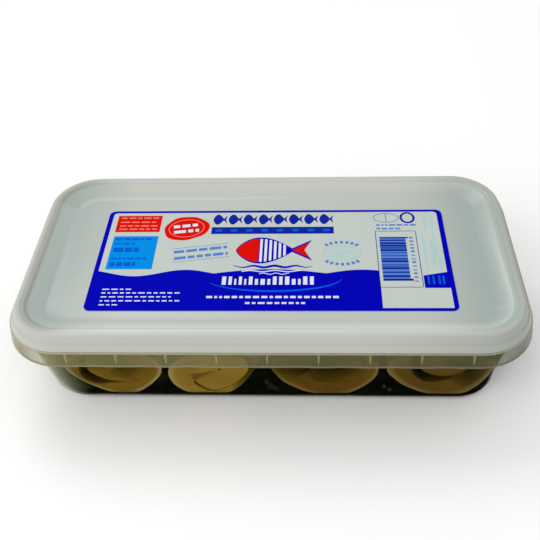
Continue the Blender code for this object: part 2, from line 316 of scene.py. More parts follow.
def grid_faces(rows, columns, rows_close=False):
    """Corner numbers of the squares of a grid whose columns close into a ring."""
    row, column = np.meshgrid(np.arange(rows if rows_close else rows - 1), np.arange(columns),
                              indexing="ij")
    row, column = row.ravel(), column.ravel()
    next_row, next_column = (row + 1) % rows, (column + 1) % columns
    return np.stack([row * columns + column, row * columns + next_column,
                     next_row * columns + next_column, next_row * columns + column], -1)


def close_ends(rows, columns):
    """Faces of a grid of rings, with a flat face over the first and the last ring."""
    faces = grid_faces(rows, columns).tolist()
    return faces + [range(columns), range((rows - 1) * columns, rows * columns)]


def fade(value, start, length):
    """0 up to a start, from there rising evenly to 1 over a length."""
    return np.clip((value - start) / length, 0.0, 1.0)


def add_piece(name, points, faces, finish, slot, replaced=(), marks=None, smooth_angle=40.0):
    """Mesh from points in millimetres and lists of corners, which rides with the pack.

    marks are values for each point that the material reads by name."""
    mesh = bpy.data.meshes.new(name)
    mesh.from_pydata((points.reshape(-1, 3) * MM).tolist(), [], [list(face) for face in faces])
    for mark, values in (marks or {}).items():
        layer = mesh.attributes.new(mark, "FLOAT", "POINT")
        layer.data.foreach_set("value", values.astype(np.float32).ravel())
    turned = bmesh.new()
    turned.from_mesh(mesh)
    bmesh.ops.recalc_face_normals(turned, faces=turned.faces)
    turned.to_mesh(mesh)
    turned.free()
    mesh.materials.append(finish.material)
    mesh.shade_smooth()
    mesh.set_sharp_from_angle(angle=math.radians(smooth_angle))
    piece = bpy.data.objects.new(name, mesh)
    bpy.context.scene.collection.objects.link(piece)
    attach(piece, "root")
    if replaced:
        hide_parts(*replaced)
    return piece


def skirt_sag(points):
    """How far the skirt's lower edge hangs down: a cosine wave with a crest at each rib."""
    along_x = np.abs(points[..., 0]) < HALF_LENGTH - CORNER_RADIUS
    place = np.where(along_x, points[..., 0], points[..., 1])
    return SKIRT_SAG * np.cos(2.0 * math.pi * (place - RIB_SHIFT) / RIB_PITCH)


clear_plastic = Finish("clear_plastic", Roughness=0.2, Specular_IOR_Level=0.3)
cloud = clear_plastic.noise(70.0, detail=3.0)
# The skirt and the flange are painted darker towards the right end: painted shade on the side away
# from the lamp on the left.
rightwards = clear_plastic.between(clear_plastic.axis("X"), -0.09, 0.09)
skirt_tone = clear_plastic.mix(cloud, colour(134, 127, 80), colour(144, 137, 90))
skirt_tone = clear_plastic.mix(rightwards, skirt_tone, colour(94, 92, 58))
flange_tone = clear_plastic.mix(rightwards, colour(180, 174, 146), colour(156, 158, 138))
tub_tone = clear_plastic.mix(clear_plastic.attribute("flange"), skirt_tone, flange_tone)
# The tub's foot, where it stands on the floor, is painted almost black: painted shade.
tub_tone = clear_plastic.mix(clear_plastic.attribute("foot"), tub_tone, colour(34, 36, 20))
# The left front corner is painted pale and hazy: painted light that stands in for light shining
# through the thin corner from behind.
clear_plastic.set(Base_Color=clear_plastic.mix(clear_plastic.attribute("corner"), tub_tone,
                                               colour(160, 168, 134)),
                  Alpha=clear_plastic.attribute("haze") * (cloud * 0.2 + 0.9))

WALL_HAZE = 0.004
FOOT_HAZE = 1.1
CORNER_HAZE = 0.5
SKIRT_HAZE = 0.35
END_HAZE = 0.28
EDGE_HAZE = 0.8
RIM_HAZE = 0.85
EDGE_PALENESS = 0.62
FOOT_FADE = 3.0
CORNER_START, CORNER_FADE = 68.0, 10.0
END_START, END_FADE = 80.0, 8.0
LEFT_END_GAIN = 1.6
EDGE_BAND = 0.3
FLANGE_BAND = 0.4
outside_foot = foot_profile(0.0, 0.0, BASE_FILLET)
outside_wall = wall_profile(0.0, BASE_FILLET + 1.0, FLANGE_UNDERSIDE)
EDGE_Z = SKIRT_BOTTOM + SKIRT_SAG
skirt_run = ring_profile((WALL_TOP_INSET, FLANGE_UNDERSIDE, 0.0),
                         (FLANGE_EDGE_INSET + SKIRT_THICKNESS, FLANGE_UNDERSIDE, 0.5),
                         (SKIRT_THICKNESS, EDGE_Z, 0.12), (0.0, EDGE_Z, 0.12),
                         (FLANGE_EDGE_INSET, FLANGE_TOP, 0.3),
                         (RIM_OUTER_INSET, FLANGE_TOP, 0.3), (RIM_OUTER_INSET, RIM_TOP, 0.15),
                         (RIM_INNER_INSET, RIM_TOP, 0.15), (WALL_TOP_INSET + WALL, FLANGE_TOP, 0.0))
skirt_run = finer(skirt_run, 0.35)
inside_wall = wall_profile(WALL, FLANGE_UNDERSIDE, BASE_FILLET + 1.0)
inside_foot = foot_profile(WALL, FLOOR, BASE_FILLET - WALL)[::-1]
tub_profile = np.concatenate([outside_foot, outside_wall, skirt_run[1:], inside_wall,
                              inside_foot])
tub_rings = carried_round(tub_profile)
height = tub_rings[..., 2].copy()
ring = np.arange(len(tub_profile))[:, None] + 0 * height
outside = ring < len(outside_foot) + len(outside_wall)
inside = ring >= len(tub_profile) - len(inside_wall) - len(inside_foot)
on_skirt = ~outside & ~inside
hang = fade(FLANGE_TOP - height, 0.0, FLANGE_TOP - SKIRT_BOTTOM) ** 2
tub_rings[..., 2] -= np.where(on_skirt, hang * skirt_sag(tub_rings), 0.0)
# foot carries the painted shade at the tub's foot.
foot = fade(BASE_FILLET - height, 0.0, FOOT_FADE) * outside
# corner carries the painted light at the left front corner.
corner = fade(-tub_rings[..., 0], CORNER_START, CORNER_FADE) * outside
foot = foot * (1.0 - corner)
haze = WALL_HAZE + FOOT_HAZE * foot + CORNER_HAZE * corner
past_end = fade(np.abs(tub_rings[..., 0]), END_START, END_FADE)
past_end *= np.where(tub_rings[..., 0] < 0.0, LEFT_END_GAIN, 1.0)
haze = np.where(on_skirt, SKIRT_HAZE + END_HAZE * past_end, haze)
on_edge = on_skirt & (height < EDGE_Z + EDGE_BAND)
haze = np.where(on_edge, EDGE_HAZE, haze)
haze = np.where(on_skirt & (height > FLANGE_TOP - EDGE_BAND), RIM_HAZE, haze)
flange = np.where(on_skirt, fade(height - FLANGE_TOP, -FLANGE_BAND, EDGE_BAND), 0.0)
flange = np.where(on_edge, EDGE_PALENESS, flange)
add_piece("tub_shell", tub_rings, close_ends(*tub_rings.shape[:2]), clear_plastic,
          "tub_plastic", ("tub",), {"haze": haze, "flange": flange, "foot": foot, "corner": corner})

# Ribs between the tub's wall and its skirt
# Thin tapered fins moulded with the tub, which show through the skirt as pale streaks. They
# hang from the flange and end a little above the skirt's lower edge.
RIB_TOP_THICKNESS = 0.85
RIB_TIP_THICKNESS = 0.3
RIB_BOTTOM = 31.4
RIB_TIP_REACH = 0.25
RIB_SINK = 0.2
RIBS_PER_LONG_SIDE = 9
RIBS_PER_SHORT_SIDE = 3


def rib(along, side, on_long_side):
    """Eight corners of a fin whose thickness and reach from the skirt shrink downwards."""
    corners = []
    for z, thickness, reach in ((FLANGE_UNDERSIDE + RIB_SINK, RIB_TOP_THICKNESS, 1.0),
                                (RIB_BOTTOM, RIB_TIP_THICKNESS, RIB_TIP_REACH)):
        slope = FLANGE_EDGE_INSET * (z - SKIRT_BOTTOM) / (FLANGE_TOP - SKIRT_BOTTOM)
        outer = SKIRT_THICKNESS * 0.6 + slope
        inner = outer + (float(body_inset(z)) + WALL / 2.0 - outer) * reach
        for across, inset in ((1, outer), (-1, outer), (-1, inner), (1, inner)):
            edge = along + across * thickness / 2.0
            corners.append((edge, side * (HALF_DEPTH - inset), z) if on_long_side
                           else (side * (HALF_LENGTH - inset), edge, z))
    return corners


rib_plastic = Finish("rib_plastic", Roughness=0.4, Alpha=0.5,
                     Base_Color=colour(216, 208, 166))
rib_points, rib_faces = [], []
for on_long_side, count in ((True, RIBS_PER_LONG_SIDE), (False, RIBS_PER_SHORT_SIDE)):
    for side in (-1, 1):
        for place in range(count):
            start = len(rib_points) * 8
            along = (place - (count - 1) / 2.0) * RIB_PITCH + RIB_SHIFT * on_long_side
            rib_points.append(rib(along, side, on_long_side))
            rib_faces += [[start + corner for corner in (0, 1, 2, 3)],
                          [start + corner for corner in (4, 5, 6, 7)]]
            rib_faces += [[start + corner, start + (corner + 1) % 4,
                           start + 4 + (corner + 1) % 4, start + 4 + corner]
                          for corner in range(4)]
add_piece("skirt_ribs", np.array(rib_points), rib_faces, rib_plastic, "tub_plastic")

# Lid
# Milky polypropylene that clips over the tub's rim. A sunken panel carries the label; a hollow
# sweep rises from it to a flat crest, and the outside steps down in two faint ridges.
LID_THICKNESS = 0.8
PANEL_TOP = 38.6
PANEL_INSET = 14.3
CREST_TOP = 42.0
CREST_INNER_INSET = 7.6
CREST_OUTER_TOP = 41.5
CREST_OUTER_INSET = 3.8
STEP_TOP = 38.6
STEP_INSET = 2.2
LEDGE_INSET = 2.95
LEDGE_TOP = 38.85
LID_BOTTOM = 36.2
LID_BOTTOM_INSET = 1.3
PANEL_RINGS = 24
PANEL_UNEVENNESS = 0.07
PANEL_HALF = (79.0, 34.2)
SWEEP_STRAIGHTNESS = 0.7


def panel_waves(x, y):
    """Slow unevenness of the panel: crossed waves that fade out towards its edge."""
    inside = np.clip(1.0 - (np.abs(x) / PANEL_HALF[0]) ** 4, 0.0, 1.0)
    inside = inside * np.clip(1.0 - (np.abs(y) / PANEL_HALF[1]) ** 4, 0.0, 1.0)
    slow = np.sin(x / 17.0 + 0.6) * np.cos(y / 13.0 - 0.4)
    return PANEL_UNEVENNESS * inside * (slow + 0.5 * np.sin(x / 9.0 - y / 11.0))


def sweep_profile(raised, inwards, steps=12):
    """Hollow sweep from the panel's edge up to the crest: a mix of a quarter of an oval and the
    straight line between its ends."""
    angles = np.linspace(math.pi / 2.0, 0.12, steps + 1)
    inset = PANEL_INSET - (PANEL_INSET - CREST_INNER_INSET) * np.cos(angles)
    hollow = CREST_TOP - (CREST_TOP - PANEL_TOP) * np.sin(angles)
    straight = PANEL_TOP + (hollow[-1] - PANEL_TOP) * (PANEL_INSET - inset) / (
        PANEL_INSET - inset[-1])
    z = hollow + (straight - hollow) * SWEEP_STRAIGHTNESS + raised
    return np.stack([inset + inwards, z, CORNER_RADIUS - inset - inwards], -1)


def panel_rings(edge, raised):
    """Rings that shrink from the panel's edge to its middle point."""
    shares = np.linspace(0.0, 1.0, PANEL_RINGS)[:, None, None]
    rings = edge[None] * np.array([1.0, 1.0, 0.0]) * shares
    rings[..., 2] = PANEL_TOP + raised + panel_waves(rings[..., 0], rings[..., 1])
    return rings


lid_plastic = Finish("lid_plastic", Roughness=0.34, Specular_IOR_Level=0.3, Coat_Weight=0.18,
                     Coat_Roughness=0.12)
milkiness = lid_plastic.noise(16.0, stretch=(1.0, 1.6, 1.0))
streak = lid_plastic.noise(120.0, detail=3.0, stretch=(0.25, 1.0, 1.0))
milk = lid_plastic.mix(milkiness, colour(175, 180, 172), colour(184, 190, 183))
# The sweep and the crest are painted lighter than the panel, most at the front: painted light where
# the slopes catch the lamps.
to_back = lid_plastic.between(lid_plastic.axis("Y"), -0.036, 0.036)
slope = lid_plastic.mix(to_back, colour(222, 224, 217), colour(196, 198, 187))
milk = lid_plastic.mix(lid_plastic.attribute("climb"), milk, slope)
across = lid_plastic.axis("X")
outer_side = lid_plastic.attribute("outer")
# The panel and the sweep are painted a darker blue-grey towards both ends, most on the right:
# painted shade away from the lamp on the left; the right sweep, which faces that lamp, gets less of
# it.
to_side = lid_plastic.between(across.math("ABSOLUTE", across), 0.05, 0.085) * (1.0 - outer_side)
on_right = lid_plastic.between(across, 0.0, 0.05)
to_side = to_side * (1.0 - on_right * lid_plastic.attribute("climb") * 0.5)
cool = lid_plastic.mix(to_side * (across * 1.2 + 0.8), milk, colour(143, 159, 155))
# The lid's outer wall is painted darker towards the right end: painted shade away from the lamp on
# the left.
wall = lid_plastic.mix(lid_plastic.between(across, 0.03, 0.094), colour(184, 186, 178),
                       colour(158, 163, 155))
cool = lid_plastic.mix(outer_side, cool, wall)
# The upper sweep and crest at the left end are painted darker: painted shade on the slope that faces
# away from the lamp on the left.
left_end = lid_plastic.between(across * -1.0, 0.066, 0.084)
cool = lid_plastic.mix(left_end * lid_plastic.attribute("lip") * 0.85, cool,
                       colour(146, 149, 139))
lid_plastic.set(Base_Color=lid_plastic.mix(streak * 0.12, cool, colour(176, 178, 166)),
                Normal=lid_plastic.bump(streak, 0.00004, 0.5))

top_sweep = carried_round(sweep_profile(0.0, 0.0))
under_sweep = carried_round(sweep_profile(-LID_THICKNESS, LID_THICKNESS / 2.0))
over_rim = carried_round(ring_profile(
    (CREST_INNER_INSET, CREST_TOP - 0.38, 0.0), (CREST_INNER_INSET - 0.7, CREST_TOP, 0.6),
    (CREST_OUTER_INSET, CREST_OUTER_TOP, 0.6), (LEDGE_INSET, LEDGE_TOP, 0.25),
    (STEP_INSET, STEP_TOP, 0.2), (LID_BOTTOM_INSET, LID_BOTTOM, 0.2),
    (LID_BOTTOM_INSET + LID_THICKNESS, LID_BOTTOM, 0.2),
    (STEP_INSET + LID_THICKNESS, STEP_TOP - 0.4, 0.3),
    (CREST_OUTER_INSET + LID_THICKNESS, CREST_OUTER_TOP - LID_THICKNESS, 0.5),
    (CREST_INNER_INSET, CREST_TOP - LID_THICKNESS, 0.5), steps=5))
lid_rings = np.concatenate([panel_rings(top_sweep[0], 0.0)[1:], top_sweep[1:], over_rim,
                            under_sweep[::-1][:-1],
                            panel_rings(under_sweep[0], -LID_THICKNESS)[::-1][:-1]])
CREST_RINGS = 7
OUTER_RINGS = len(over_rim) - 10
LIP_RINGS = 5
SWEEP_CLIMB, CREST_CLIMB = 0.9, 0.35
first_sweep = PANEL_RINGS - 1
first_crest = first_sweep + len(top_sweep) - 1
first_outer = first_crest + CREST_RINGS
outer = np.zeros(len(lid_rings))
outer[first_outer:first_outer + OUTER_RINGS] = 1.0
# climb is the share of that painted light on each ring of the sweep and the crest.
climb = np.zeros(len(lid_rings))
climb[first_sweep:first_crest] = np.interp(range(len(top_sweep) - 1), (0, 8, 11),
                                           (0.0, SWEEP_CLIMB, CREST_CLIMB))
climb[first_crest:] = CREST_CLIMB
lip = np.zeros(len(lid_rings))
lip[first_crest - LIP_RINGS:first_crest] = np.linspace(0.0, 1.0, LIP_RINGS)
lip[first_crest:first_outer] = 1.0
ring_size = lid_rings.shape[1]
lid_faces = grid_faces(len(lid_rings), ring_size).tolist()
lid_points = lid_rings.reshape(-1, 3)
for row, raised in ((0, 0.0), (len(lid_rings) - 1, -LID_THICKNESS)):
    middle = np.array([[0.0, 0.0, PANEL_TOP + raised + float(panel_waves(0.0, 0.0))]])
    lid_points = np.concatenate([lid_points, middle])
    first = row * ring_size
    lid_faces += [[first + spot, first + (spot + 1) % ring_size, len(lid_points) - 1]
                  for spot in range(ring_size)]
marks = {name: np.append(np.repeat(values, ring_size), (0.0, 0.0))
         for name, values in (("outer", outer), ("climb", climb), ("lip", lip))}
add_piece("lid_cover", lid_points, lid_faces, lid_plastic, "lid_plastic", ("lid",), marks)

# Label
# A printed film stuck on the lid's panel, royal blue on off-white with a wavy edge between them.
# On it lie red and sky-blue boxes, a panel of bars, rows of plain strokes and a striped fish in
# the middle, all of them thin plates and bands of ink in two layers.
LABEL_MIDDLE = (0.76, -2.11)
LABEL_HALF = (66.4, 28.05)
LABEL_CORNER = 2.6
FILM_LOW = -0.1
FILM_TOP = 0.18
INK = 0.03
LOWER_INK = (FILM_TOP - 0.02, FILM_TOP + INK)
UPPER_INK = (FILM_TOP + INK - 0.01, FILM_TOP + 2.0 * INK)
STROKE_LEAST_SHARE = 0.35
STROKE_LEAST_ROOM = 0.8
FISH_BODY_SHARE = 0.74
FISH_NOTCH = 0.9
FISH_FORK = 0.42
FISH_SWELL = 0.07


def slab(outline, layer):
    """Closed flat plate over an outline, between a layer's two heights over the panel."""
    outline = np.asarray(outline, float)
    count = len(outline)
    points = np.concatenate([np.column_stack([outline, np.full(count, PANEL_TOP + lift)])
                             for lift in layer])
    faces = [list(range(count)), list(range(count, 2 * count))]
    faces += [[spot, (spot + 1) % count, count + (spot + 1) % count, count + spot]
              for spot in range(count)]
    return points, faces


def plates(outlines, layer):
    """A plate for each outline, all in the same layer."""
    return [slab(outline, layer) for outline in outlines]


def ribbon(path, width, layer, closed=False):
    """Closed flat band of a given width along a path (x, y), as a ring if it is closed."""
    path = np.asarray(path, float)
    low, high = layer
    if closed:
        along = np.roll(path, -1, 0) - np.roll(path, 1, 0)
    else:
        along = np.gradient(path, axis=0)
    along /= np.linalg.norm(along, axis=1, keepdims=True)
    across = np.stack([-along[:, 1], along[:, 0]], -1) * np.reshape(width, (-1, 1)) / 2.0
    rows = []
    for side, lift in ((1, low), (1, high), (-1, high), (-1, low)):
        line = path + side * across
        rows.append(np.column_stack([line, np.full(len(line), PANEL_TOP + lift)]))
    points = np.stack(rows, 1)
    faces = grid_faces(len(path), 4, rows_close=closed).tolist()
    if not closed:
        last = 4 * (len(path) - 1)
        faces += [[0, 1, 2, 3], [last, last + 1, last + 2, last + 3]]
    return points.reshape(-1, 3), faces


def printed(name, finish, parts):
    """One piece from many separate plates and bands of the same ink."""
    points, faces, start = [], [], 0
    for part_points, part_faces in parts:
        points.append(part_points)
        faces += [[start + corner for corner in face] for face in part_faces]
        start += len(part_points)
    return add_piece(name, np.concatenate(points), faces, finish, "label_film")


def box_outline(left, right, bottom, top, lean=0.0, pivot=(0.0, 0.0)):
    """Rectangle, turned by an angle in degrees about a point."""
    corners = np.array([(left, bottom), (right, bottom), (right, top), (left, top)])
    turned = math.radians(lean)
    spin = np.array([(math.cos(turned), math.sin(turned)), (-math.sin(turned), math.cos(turned))])
    return (corners - pivot) @ spin + pivot


def oval(middle, half_x, half_y, steps=48, wobble=0.0, lean=0.0):
    """Oval outline, turned by an angle in degrees; a wobble of three waves makes it a blot."""
    angle = np.linspace(0.0, 2.0 * math.pi, steps, endpoint=False)
    reach = 1.0 + wobble * (np.sin(2.0 * angle + 0.9) + 0.7 * np.sin(3.0 * angle + 2.0)
                            + 0.35 * np.sin(7.0 * angle))
    x, y = half_x * reach * np.cos(angle), half_y * reach * np.sin(angle)
    turned = math.radians(lean)
    return np.stack([middle[0] + x * math.cos(turned) - y * math.sin(turned),
                     middle[1] + x * math.sin(turned) + y * math.cos(turned)], -1)


def strokes(left, right, y, height, seed, longest=4.2, gap=0.75, lean=0.0, pivot=(0.0, 0.0)):
    """Row of plain strokes of uneven length, with even gaps between them."""
    draw = np.random.default_rng(seed)
    made, x = [], left
    while x < right - STROKE_LEAST_ROOM:
        end = min(x + draw.uniform(STROKE_LEAST_SHARE, 1.0) * longest, right)
        made.append(box_outline(x, end, y - height / 2.0, y + height / 2.0, lean, pivot))
        x = end + gap
    return made


def fish_outline(middle, length, height, steps=14):
    """Plain fish: two bowed sides that meet at the nose and cross into a forked tail."""
    share = np.linspace(0.0, 1.0, steps)
    half = height / 2.0 * np.sin(math.pi * share ** 0.8) ** 0.9
    half = half + FISH_SWELL * height * share
    back = np.column_stack([share * FISH_BODY_SHARE, half])
    tail = np.array([(1.0, FISH_FORK * height), (FISH_NOTCH, 0.0), (1.0, -FISH_FORK * height)])
    belly = back[::-1] * (1.0, -1.0)
    shape = np.concatenate([back[1:], tail, belly[:-1], [(0.0, 0.0)]])
    return shape * (length, 1.0) - (length / 2.0, 0.0) + middle


def ink(name, red, green, blue):
    """Print on satin film, with the faint mottle of ink on a slightly uneven ground."""
    made = Finish(name, Roughness=0.45, Specular_IOR_Level=0.01)
    dark = tuple(part * 0.9 for part in colour(red, green, blue)[:3]) + (1.0,)
    made.set(Base_Color=made.mix(made.noise(90.0, 3.0), colour(red, green, blue), dark))
    return made


film_white = ink("film_white", 191, 200, 193)
royal_blue = ink("royal_blue", 0, 8, 176)
deep_blue = ink("deep_blue", 22, 40, 150)
box_red = ink("box_red", 215, 22, 10)
sky_blue = ink("sky_blue", 0, 139, 224)
mid_blue = ink("mid_blue", 0, 92, 214)
pale_blue = ink("pale_blue", 84, 128, 200)
pale_cyan = ink("pale_cyan", 158, 204, 206)
print_white = ink("print_white", 218, 224, 236)
pale_red = ink("pale_red", 240, 128, 112)

film_outline = rounded_outline(*LABEL_HALF, LABEL_CORNER) + LABEL_MIDDLE
film_points, film_faces = slab(film_outline, (FILM_LOW, FILM_TOP))
add_piece("label_film", film_points, film_faces, film_white, "label_film", ("label",))

FILM_EDGE = 0.08
BORDER_LEFT, BORDER_RIGHT, BORDER_TOP = 1.8, 2.0, 1.25
FIELD_LEFT = LABEL_MIDDLE[0] - LABEL_HALF[0] + FILM_EDGE
FIELD_RIGHT = LABEL_MIDDLE[0] + LABEL_HALF[0] - FILM_EDGE
FIELD_BOTTOM = LABEL_MIDDLE[1] - LABEL_HALF[1] + FILM_EDGE
FIELD_TOP = LABEL_MIDDLE[1] + LABEL_HALF[1] - FILM_EDGE
CODE_LEFT, CODE_RIGHT, CODE_BOTTOM, CODE_TOP = 40.4, 55.8, -18.2, 12.8
SEA_CREST_LEFT, SEA_CREST_RIGHT = -20.7, 21.3
OUTER_CORNER, INNER_CORNER = LABEL_CORNER - FILM_EDGE, 1.5
PANEL_GAP_TOP, PANEL_GAP_BOTTOM = -18.6, -28.6
PANEL_GAP_LEFT = CODE_LEFT + 0.2


def sea_line(x):
    """Upper edge of the blue field: a slow wave on the left and two humps that meet in dips."""
    slow = -10.6 + 1.7 * np.cos(2.0 * math.pi * (x + 31.0) / 38.0)
    span = SEA_CREST_RIGHT - SEA_CREST_LEFT
    middle = -10.9 + 2.2 * np.sin(math.pi * (x - SEA_CREST_LEFT) / span)
    right = -10.9 + 1.9 * np.sin(math.pi * (x - SEA_CREST_RIGHT) / 26.0)
    return np.where(x < SEA_CREST_LEFT, slow, np.where(x < SEA_CREST_RIGHT, middle, right))


def corner_arc(x, y, radius, start):
    """Quarter circle round a middle point, from a heading in quarter turns."""
    angle = np.linspace(0.0, math.pi / 2.0, 8) + start * math.pi / 2.0
    return np.column_stack([x + radius * np.cos(angle), y + radius * np.sin(angle)])


inner_left, inner_right = FIELD_LEFT + BORDER_LEFT, FIELD_RIGHT - BORDER_RIGHT
inner_top = FIELD_TOP - BORDER_TOP
gap_right = inner_right + 0.3
crest_x = np.linspace(inner_left, CODE_LEFT, 140)
sea_top = np.column_stack([crest_x, sea_line(crest_x)])
small_field = np.array([(CODE_RIGHT + 0.5, -12.2), (inner_right, -10.3)])
blue_outline = np.concatenate([
    corner_arc(FIELD_LEFT + OUTER_CORNER, FIELD_BOTTOM + OUTER_CORNER, OUTER_CORNER, 2),
    corner_arc(FIELD_RIGHT - OUTER_CORNER, FIELD_BOTTOM + OUTER_CORNER, OUTER_CORNER, 3),
    corner_arc(FIELD_RIGHT - OUTER_CORNER, FIELD_TOP - OUTER_CORNER, OUTER_CORNER, 0),
    corner_arc(FIELD_LEFT + OUTER_CORNER, FIELD_TOP - OUTER_CORNER, OUTER_CORNER, 1),
    [(FIELD_LEFT, sea_top[0, 1] + 0.01), (inner_left, sea_top[0, 1] + 0.01)],
    corner_arc(inner_left + INNER_CORNER, inner_top - INNER_CORNER, INNER_CORNER, 1)[::-1],
    corner_arc(inner_right - INNER_CORNER, inner_top - INNER_CORNER, INNER_CORNER, 0)[::-1],
    small_field[::-1],
    [(CODE_RIGHT + 0.5, PANEL_GAP_TOP), (gap_right, PANEL_GAP_TOP),
     (gap_right, PANEL_GAP_BOTTOM), (PANEL_GAP_LEFT, PANEL_GAP_BOTTOM),
     (PANEL_GAP_LEFT, CODE_BOTTOM)],
    sea_top[::-1],
    [(FIELD_LEFT, sea_top[0, 1])],
])
printed("label_blue_field", royal_blue, [slab(blue_outline, LOWER_INK)])

TITLE_LEFT, TITLE_RIGHT, TITLE_BOTTOM, TITLE_TOP = -23.4, 24.6, 17.3, 23.3
BAND_BOTTOM, BAND_TOP = 11.5, 15.6
TITLE_FISH = 8
ROUND_MARK, LONG_MARK = (53.4, 20.9), (45.0, 20.9)
title_step = (TITLE_RIGHT - TITLE_LEFT) / TITLE_FISH
title_y = (TITLE_BOTTOM + TITLE_TOP) / 2.0
title_fish = [fish_outline((TITLE_LEFT + (place + 0.5) * title_step, title_y),
                           title_step * 0.93, (TITLE_TOP - TITLE_BOTTOM) * 0.98)
              for place in range(TITLE_FISH)]
title_band = box_outline(TITLE_LEFT, TITLE_RIGHT - 0.2, BAND_BOTTOM, BAND_TOP)
code_line = box_outline(CODE_LEFT, CODE_RIGHT, CODE_BOTTOM, CODE_TOP)
code_side = np.linspace(code_line, np.roll(code_line, -1, 0), 12, endpoint=False)
code_frame = code_side.transpose(1, 0, 2).reshape(-1, 2)
title_dots = [oval((TITLE_LEFT + 2.9 + place * 6.0, 13.55), 1.5, 0.75, 20)
              for place in range(TITLE_FISH)]
printed("label_title_row", deep_blue, plates(title_fish + [title_band], LOWER_INK))
printed("label_code_frame", deep_blue,
        [ribbon(code_frame, 0.25, LOWER_INK, closed=True),
         ribbon(oval(ROUND_MARK, 2.5, 3.0), 0.9, LOWER_INK, closed=True)])
printed("label_title_dots", mid_blue, plates(title_dots, UPPER_INK))

RED_BOX = (-61.6, -43.9, 12.9, 22.9)
BLOT_MIDDLE = (-33.4, 15.0)
BLOT_LEAN = 8.0
blot = oval(BLOT_MIDDLE, 8.6, 7.3, 72, wobble=0.045, lean=6.0)
blot_ring = oval(BLOT_MIDDLE, 6.9, 5.2, lean=BLOT_LEAN)
box_rows = [stroke for row, y in enumerate((21.4, 18.9, 16.6, 14.6))
            for stroke in strokes(-60.2, -45.2, y, 0.75, 20 + row)]
blot_rows = [stroke for row, y in enumerate((16.5, 13.2))
             for stroke in strokes(-38.4, -28.6, y, 1.7, 30 + row, 5.0, 0.9, BLOT_LEAN, BLOT_MIDDLE)]
printed("label_red_box", box_red, plates([box_outline(*RED_BOX), blot], LOWER_INK))
printed("label_red_marks", pale_red,
        plates(box_rows, UPPER_INK) + [ribbon(blot_ring, 0.35, UPPER_INK, closed=True)])
printed("label_seal_marks", print_white, plates(blot_rows, UPPER_INK))

SKY_BOX = (-61.4, -43.9, -8.5, 10.4)
SKY_ROWS = ((8.6, 1.1, -60.4, -45.6), (6.0, 0.9, -60.4, -51.5), (2.4, 2.5, -60.2, -50.4),
            (-2.6, 0.9, -60.4, -46.6), (-5.8, 2.3, -60.2, -50.6))
sky_marks = [stroke for row, (y, tall, left, right) in enumerate(SKY_ROWS)
             for stroke in strokes(left, right, y, tall, 40 + row, 2.0 + tall, 0.6)]
printed("label_sky_box", sky_blue, [slab(box_outline(*SKY_BOX), LOWER_INK)])
printed("label_sky_marks", mid_blue, plates(sky_marks, UPPER_INK))

SLOPE = 8.6
SLOPE_PIVOT = (-26.4, 0.6)
SLOPE_LINE_HALF = 0.09
slope_rows = [stroke for row, y in enumerate((2.4, -1.2))
              for stroke in strokes(-36.6, -16.2, y, 1.5, 50 + row, 4.6, 0.8, SLOPE, SLOPE_PIVOT)]
slope_lines = [box_outline(-37.2, -15.6, y - SLOPE_LINE_HALF, y + SLOPE_LINE_HALF, SLOPE,
                           SLOPE_PIVOT) for y in (4.4, -3.2)]
code_rows = [stroke for row, (y, right) in enumerate(((16.5, 56.5), (14.3, 50.6)))
             for stroke in strokes(41.0, right, y, 0.9, 60 + row, 2.4, 0.6)]
printed("label_slope_lines", pale_blue,
        plates(slope_rows + slope_lines + code_rows, LOWER_INK)
        + [ribbon(oval(LONG_MARK, 4.9, 2.7), 0.3, LOWER_INK, closed=True),
           slab(box_outline(44.85, 45.15, 18.3, 23.5), LOWER_INK)])

BAR_LEFT, BAR_RIGHT, BAR_LOW, BAR_HIGH = 41.7, 51.6, -14.9, 9.3
BAR_THICKNESS, BAR_SPACE = 0.34, 0.42
END_BAR_REACH = 1.0
bar_draw = np.random.default_rng(7)
bar_edges, bar_y = [], BAR_LOW
while bar_y < BAR_HIGH - 0.4:
    thick = BAR_THICKNESS * bar_draw.integers(1, 4)
    bar_edges.append((bar_y, min(bar_y + thick, BAR_HIGH)))
    bar_y += thick + BAR_SPACE * bar_draw.integers(1, 4)
end_bars = (0, len(bar_edges) - 1)
bars = [box_outline(BAR_LEFT, BAR_RIGHT + (END_BAR_REACH if spot in end_bars else 0.0), low, high)
        for spot, (low, high) in enumerate(bar_edges)]
number_draw = np.random.default_rng(11)
code_numbers = [box_outline(53.0, 54.4, y, y + 0.5 + 0.6 * number_draw.random())
                for y in np.linspace(-15.4, 8.4, 13)]
code_ground = box_outline(BAR_LEFT, BAR_RIGHT, BAR_LOW, BAR_HIGH)
printed("label_code_bars", deep_blue, plates(bars, UPPER_INK))
printed("label_code_numbers", pale_blue, plates(code_numbers + [code_ground], LOWER_INK))

EMBLEM = (27.2, 0.2)
EMBLEM_REACH = (8.6, 6.2)
EMBLEM_MARK = (0.55, 0.75)
emblem_marks = []
for upper in (1.0, -1.0):
    for angle in np.linspace(0.27, 0.73, 7) * math.pi:
        mark_x = EMBLEM[0] + EMBLEM_REACH[0] * math.cos(angle)
        mark_y = EMBLEM[1] + upper * EMBLEM_REACH[1] * math.sin(angle)
        emblem_marks.append(box_outline(
            mark_x - EMBLEM_MARK[0], mark_x + EMBLEM_MARK[0], mark_y - EMBLEM_MARK[1],
            mark_y + EMBLEM_MARK[1], upper * math.degrees(angle - math.pi / 2), (mark_x, mark_y)))
wave_x = np.linspace(-4.8, 4.8, 40)
emblem_waves = [ribbon(np.column_stack([EMBLEM[0] + wave_x,
                                        EMBLEM[1] + y + 0.4 * np.sin(wave_x * 1.3)]),
                       0.5, LOWER_INK) for y in (-2.1, -0.6, 0.9)]
